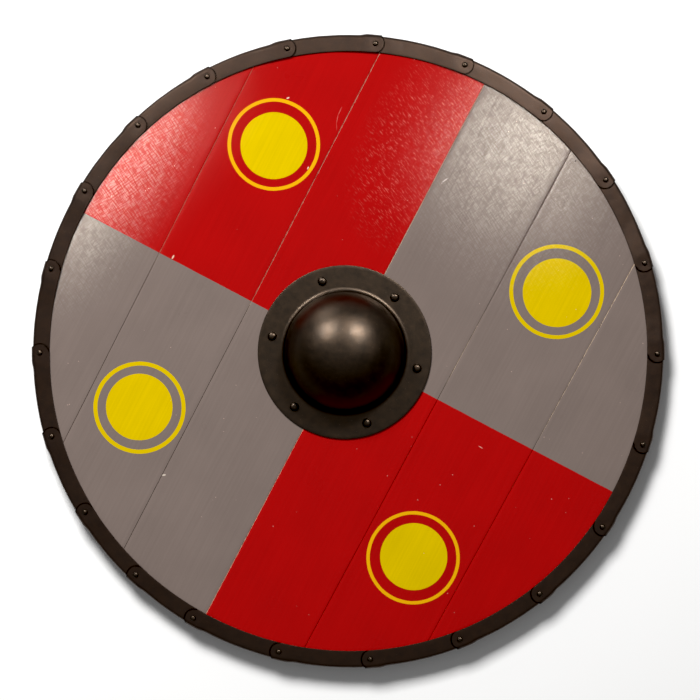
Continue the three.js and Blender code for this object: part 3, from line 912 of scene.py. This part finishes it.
class SHIELD_OT_boss_rivets(bpy.types.Operator):
    """Six domed rivets through the flange of the boss"""
    bl_idname = "shield.boss_rivets"
    bl_label = "Boss rivets"

    def execute(self, context):
        rivets = context.scene.shield_rivets
        steel = blackened_steel("blackened_boss_rivet_steel", rivets.steel_colour, 0.36, 1.0)
        seat = BOSS_LOW.z + context.scene.shield_boss.steel - 0.1 * MM
        add_rivets(boss_rivet_nodes(), "hammered_boss_rivet", steel, seat,
                   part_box("boss_rivet_1")[1].z, 4.75 * MM, rivets.boss_shank, rivets.boss_tail,
                   1.95 * MM, 1.9 * MM, 1)
        return {'FINISHED'}


def boss_wall(boss, inward):
    """Radius and height of the boss's outer face, or of the one that lies inward of it by the steel."""
    flange = BOSS_LOW.z
    foot = flange + boss.steel + boss.fillet
    flat = np.concatenate([np.array(edge_stops(BOSS_EDGE)),
                           np.arange(3, (FLANGE_RADIUS - boss.dome - boss.fillet) / MM, 2.6) * MM])
    bends = np.radians(np.linspace(0, 90, 8))
    rises = np.radians(np.concatenate([np.linspace(0, 84, 40)[1:], [86, 88, 89.2, 90]]))
    top = flange + boss.steel - inward
    drop = edge_drop(flat, BOSS_EDGE) * (1 if inward == 0 else -1)
    curve = boss.fillet + inward
    radius = np.concatenate([FLANGE_RADIUS - flat, boss.dome - inward + curve - curve * np.sin(bends),
                             (boss.dome - inward) * np.cos(rises)])
    height = np.concatenate([top - drop, top + curve - curve * np.cos(bends),
                             foot + (BOSS_HIGH.z - inward - foot) * np.sin(rises)])
    return radius, height


def dished(boss, radius, height):
    """The grid of a face of the boss, with the dents of its making."""
    turns = np.arange(boss.columns) * 2 * pi / boss.columns
    x = BOSS_CENTRE.x + radius[:, None] * np.cos(turns)
    y = BOSS_CENTRE.y + radius[:, None] * np.sin(turns)
    level = np.dstack([x, y])
    on_dome = smooth((height - BOSS_LOW.z - 3 * MM) / (12 * MM))[:, None]
    # Shallow dents from the dishing hammer, and a nearly flat flange
    beaten = ripples(level, 26 * MM, 61) + 0.35 * ripples(level, 9 * MM, 62)
    sag = (boss.dents * beaten - boss.dents * 1.6) * (0.12 + 0.88 * on_dome)
    # Three small marks near the crown: place from the middle, width and depth in mm
    marks = ((0.6, -9.9, 2.6, 0.12), (5.0, -6.0, 2.0, 0.08), (-6.5, -13, 2.2, 0.08))
    for mark_x, mark_y, width, depth in marks:
        near = np.hypot(x - BOSS_CENTRE.x - mark_x * MM, y - BOSS_CENTRE.y - mark_y * MM)
        sag = sag - depth * MM * np.exp(-(near / (width * MM)) ** 2) * on_dome
    slope = np.minimum(radius / (boss.dome * 1.02), 1)[:, None] ** 3
    shrink = 1 + sag / (60 * MM) * slope * on_dome
    x = BOSS_CENTRE.x + (x - BOSS_CENTRE.x) * shrink
    y = BOSS_CENTRE.y + (y - BOSS_CENTRE.y) * shrink
    return np.dstack([x, y, height[:, None] + sag * (1 - 0.7 * slope * on_dome)])


class SHIELD_OT_boss(bpy.types.Operator):
    """Dished steel dome with a flat flange, hollow for the fist behind it"""
    bl_idname = "shield.boss"
    bl_label = "Boss"

    def execute(self, context):
        boss = context.scene.shield_boss
        rivets = context.scene.shield_rivets
        steel = blackened_steel("blackened_boss_steel", boss.steel_colour, 0.37, 1.1)
        outside, inside = [dished(boss, *boss_wall(boss, inward)) for inward in (0.0, boss.steel)]
        outside[..., 2] = np.minimum(outside[..., 2], BOSS_HIGH.z)
        inside[..., 2] = np.maximum(inside[..., 2], BOSS_LOW.z)
        points, faces = shell(outside, inside, around=True, pole=True)
        piece = solid("dished_boss", points, faces)
        carve(piece, [square_drill(middle_of(name), rivets.boss_shank + rivets.hole, 0, 40 * MM)
                      for name in boss_rivet_nodes()])
        settle(piece, (steel,), ["boss"], sharp=50)
        light_group("boss_and_rivets").objects.link(piece)
        return {'FINISHED'}


def grip_section(width, depth, corner, top):
    """Outline of the grip at one place, as points across it and in height, round towards the hand."""
    half, bottom, r = width / 2, top - depth, min(corner, depth / 2.2, width / 2.2)
    small = min(1.0 * MM, r)
    corners = ((half - r, bottom + r, r, -90), (half - small, top - small, small, 0),
               (small - half, top - small, small, 90), (r - half, bottom + r, r, 180))
    outline = []
    for across, z, bend, start in corners:
        for turn in np.radians(start + np.array([0, 18, 36, 54, 72, 90])):
            outline.append((across + bend * cos(turn), z + bend * sin(turn)))
    outline = np.array(outline)
    # Extra points along the two broad faces and the sides
    full = []
    for j, point in enumerate(outline):
        following = outline[(j + 1) % len(outline)]
        full.append(point)
        if (j + 1) % 6 == 0:
            full += [point + (following - point) * share for share in (0.2, 0.4, 0.6, 0.8)]
    return np.array(full)


class SHIELD_OT_grip(bpy.types.Operator):
    """A pine batten across the back, rounded for the hand, broad at its rivets and thin at its ends"""
    bl_idname = "shield.grip"
    bl_label = "Grip"

    def execute(self, context):
        grip = context.scene.shield_grip
        rivets = context.scene.shield_rivets
        low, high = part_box("grip")
        centre = (low + high) / 2
        reach = (high.x - low.x) / 2
        top = BOARD_BACK - 0.02 * MM
        stations = stops_between(-reach, reach, 3.6 * MM, 2.5 * MM)
        away = np.abs(stations)
        at = np.array([0, 40, 63, 92, 278, 285]) * MM
        widths = [grip.hand_width, grip.hand_width, grip.rivet_width, grip.rivet_width, grip.end_width,
                  13 * MM]
        depths = np.array([14, 14, 9, 9, 6, 5]) * MM
        rounds = np.array([5, 5, 2, 2, 2, 1.6]) * MM

        def profile(values, blur):
            steps = np.linspace(-blur, blur, 9)
            return np.mean([np.interp(np.abs(away + step), at, values) for step in steps], 0)

        width = profile(widths, 7 * MM)
        depth = profile(depths, 7 * MM)
        corner = profile(rounds, 9 * MM)
        end = edge_drop(reach - away, 2.5 * MM)
        width, depth = width - 1.2 * end, depth - 0.5 * end
        rings = []
        for i, x in enumerate(stations):
            section = grip_section(width[i], depth[i], corner[i], top)
            along = np.full(len(section), centre.x + x)
            rings.append(np.column_stack([along, centre.y - section[:, 0], section[:, 1]]))
        rings = np.array(rings)
        # Long flats of the plane, cut inwards only, and none on the face that is glued to the board
        waves = 0.5 * (1 + ripples(rings * np.array([0.25, 1, 1]), 11 * MM, 81) / 1.5)
        free = smooth((top - rings[..., 2]) / (1.5 * MM))
        off_middle = rings[..., 1] - centre.y
        inward = np.sign(off_middle) * smooth(np.abs(off_middle) / (6 * MM))
        rings[..., 1] -= inward * grip.planing * waves * free
        rings[..., 2] += grip.planing * waves * free * 0.8
        rings[..., 2] = np.clip(rings[..., 2], 0.02 * MM, top)
        piece = solid("carved_grip", *stack(rings))
        carve(piece, [square_drill(middle_of(name), rivets.boss_shank + rivets.hole, -5 * MM, 40 * MM)
                      for name in ("boss_rivet_1", "boss_rivet_4")])
        oiled = bare_pine("oiled_pine", grip.pine, 0.0, 0.5)
        settle(piece, (oiled,), ["grip"], sharp=50)
        return {'FINISHED'}


# Stage

def as_hung(x, y, z):
    """A place given as the shield hangs, turned to how it lies."""
    return Vector((x * cos(HANG) - y * sin(HANG), x * sin(HANG) + y * cos(HANG), z))


def lit_only(light, collection):
    """Lets a light reach only the pieces of one collection, as a flag or a grid does in a studio."""
    light.light_linking.receiver_collection = light_group(collection)


def area_light(name, size, power, colour):
    """A rectangular light that the camera doesn't see, its size in metres."""
    light = bpy.data.lights.new(name, 'AREA')
    light.shape = 'RECTANGLE'
    light.size, light.size_y = size
    light.energy = power
    light.color = colour
    lamp = bpy.data.objects.new(name, light)
    lamp.visible_camera = False
    bpy.context.scene.collection.objects.link(lamp)
    return lamp


def add_gridded_strip(name, x, y, turn, height, size, power, spread):
    """A strip light with a grid, for the gloss alone. The flat paint shows its image at a place as hung."""
    strip = area_light(name, size, power, (1, 0.95, 0.82))
    strip.data.spread = radians(spread)
    share = 1 + height / bpy.context.scene.shield_studio.distance
    strip.location = as_hung(x * MM * share, y * MM * share, BOARD_FRONT + height)
    strip.rotation_euler = (0, 0, HANG + radians(turn))
    strip.visible_diffuse = False
    lit_only(strip, "painted_boards")


def add_box_light(name, azimuth, off_axis, distance, size, power, colour, gloss_only):
    """A soft box that faces the shield, at an azimuth as hung and an angle off the line to the camera."""
    box = area_light(name, size, power, colour)
    side = distance * sin(radians(off_axis))
    away = as_hung(side * cos(radians(azimuth)), side * sin(radians(azimuth)),
                   distance * cos(radians(off_axis)))
    box.location = Vector((BOSS_CENTRE.x, BOSS_CENTRE.y, BOSS_HIGH.z - 12 * MM)) + away
    box.rotation_euler = (-away).to_track_quat('-Z', 'Y').to_euler()
    box.visible_diffuse = not gloss_only
    box.visible_glossy = gloss_only
    return box


def lay_floor(scene):
    """A sheet of matt white paper, 8 m wide, just under the shield."""
    half = 4.0
    points = np.array([[-half, -half, 0], [half, -half, 0], [half, half, 0], [-half, half, 0]])
    points[:, 2] = cad_box[0][2] - 0.2 * MM
    mesh = bpy.data.meshes.new("floor")
    mesh.from_pydata(points.tolist(), [], [(0, 1, 2, 3)])
    floor = bpy.data.objects.new("floor", mesh)
    scene.collection.objects.link(floor)
    paper, add = new_material("matt_white_paper")
    shader = add("BsdfPrincipled", {"Base Color": linear("fcfcfc"), "Roughness": 0.9,
                                    "Specular IOR Level": 0.1})
    add("OutputMaterial", {"Surface": shader}, output=None)
    mesh.materials.append(paper)
    floor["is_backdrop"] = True


def light_room(scene, room):
    """Even light from all round. The gloss sees it as dim, and a little brighter towards the top."""
    world = bpy.data.worlds.new("room")
    scene.world = world
    world.use_nodes = True
    add = node_adder(world.node_tree)
    seen = add("LightPath", output="Is Glossy Ray")
    direction = add("TexCoord", output="Generated")
    lean = as_hung(-0.1, 0.35, 0.94)
    toward = add("VectorMath", {0: direction, 1: lean}, 'DOT_PRODUCT', output="Value")
    gloss = add("MapRange", {0: toward, 1: 0.2, 2: 1.0, 3: 0.17, 4: 0.6}, interpolation_type='SMOOTHSTEP')
    level = add("Mix", {0: seen, 2: room, 3: gloss}, data_type='FLOAT')
    glow = add("Background", {"Color": linear("ffffff"), "Strength": level})
    add("OutputWorld", {"Surface": glow}, output=None)


class SHIELD_OT_studio(bpy.types.Operator):
    """Pale floor, soft lights and the camera that looks straight down on the face"""
    bl_idname = "shield.studio"
    bl_label = "Floor, lights and camera"

    def execute(self, context):
        scene = context.scene
        studio = scene.shield_studio
        # The picture's black point sits a little up, as in a finished studio picture
        view = scene.view_settings
        view.view_transform = 'Standard'
        view.use_curve_mapping = True
        view.curve_mapping.black_level = (0.007, 0.007, 0.007)

        lay_floor(scene)
        light_room(scene, studio.room)
        neutral, warm = (1, 0.995, 0.985), (1, 0.965, 0.92)
        add_box_light("key", 113.5, 42, 2.6, (0.85, 0.75), studio.key, neutral, False)
        # Soft boxes that the steel reflects: azimuth, angle off the camera's line, distance, size, strength
        boxes = (
            ("left", 125.6, 50, 0.95, (0.22, 0.22), 1.05),
            ("right", 59.7, 43, 1.0, (0.22, 0.22), 1.5),
            ("low", 117, 84, 1.2, (0.5, 0.2), 0.3),
        )
        for collection, share in (("boss_and_rivets", 1.05), ("rim", 0.3)):
            for side, azimuth, off_axis, distance, size, strength in boxes:
                box = add_box_light(f"{collection}_{side}", azimuth, off_axis, distance, size,
                                    studio.sheen * strength * share, warm, True)
                lit_only(box, collection)
        add_gridded_strip("paint_left", -226, 184, 50, 0.55, (0.26, 0.06), studio.grid, 26)
        add_gridded_strip("paint_right", 174, 206, 52, 0.6, (0.17, 0.08), studio.grid * 0.78, 26)

        camera = bpy.data.objects.new("camera", bpy.data.cameras.new("camera"))
        camera.data.lens = studio.lens
        camera.data.sensor_width = 36
        camera.location = as_hung(1.4 * MM, 1.2 * MM, BOARD_FRONT + studio.distance)
        camera.rotation_euler = (0, 0, HANG)
        scene.collection.objects.link(camera)
        scene.camera = camera
        return {'FINISHED'}


class SHIELD_PT_panel(bpy.types.Panel):
    """Lists the pieces of the shield and its stage"""
    bl_idname = "SHIELD_PT_panel"
    bl_label = "Viking Round Shield"
    bl_space_type = 'VIEW_3D'
    bl_region_type = 'UI'
    bl_category = "Shield"

    def draw(self, context):
        for step in OPERATORS:
            self.layout.operator(step.bl_idname)


GROUPS = {"shield_planks": ShieldPlanks, "shield_rim": ShieldRim, "shield_boss": ShieldBoss,
          "shield_rivets": ShieldRivets, "shield_grip": ShieldGrip, "shield_studio": ShieldStudio}
OPERATORS = (SHIELD_OT_studio, SHIELD_OT_planks, SHIELD_OT_rim, SHIELD_OT_rim_rivets, SHIELD_OT_boss,
             SHIELD_OT_boss_rivets, SHIELD_OT_grip)


def register():
    for name, group in GROUPS.items():
        bpy.utils.register_class(group)
        setattr(bpy.types.Scene, name, PointerProperty(type=group))
    for cls in (*OPERATORS, SHIELD_PT_panel):
        bpy.utils.register_class(cls)


def unregister():
    for cls in (SHIELD_PT_panel, *reversed(OPERATORS)):
        bpy.utils.unregister_class(cls)
    for name, group in GROUPS.items():
        delattr(bpy.types.Scene, name)
        bpy.utils.unregister_class(group)


def main():
    register()
    bpy.ops.shield.studio()
    bpy.ops.shield.planks()
    bpy.ops.shield.rim()
    bpy.ops.shield.rim_rivets()
    bpy.ops.shield.boss()
    bpy.ops.shield.boss_rivets()
    bpy.ops.shield.grip()
    boxes = {name: [list(corner) for corner in box]
             for name, box in (("cad", cad_box), ("visual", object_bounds()))}


if __name__ == "__main__":
    main()
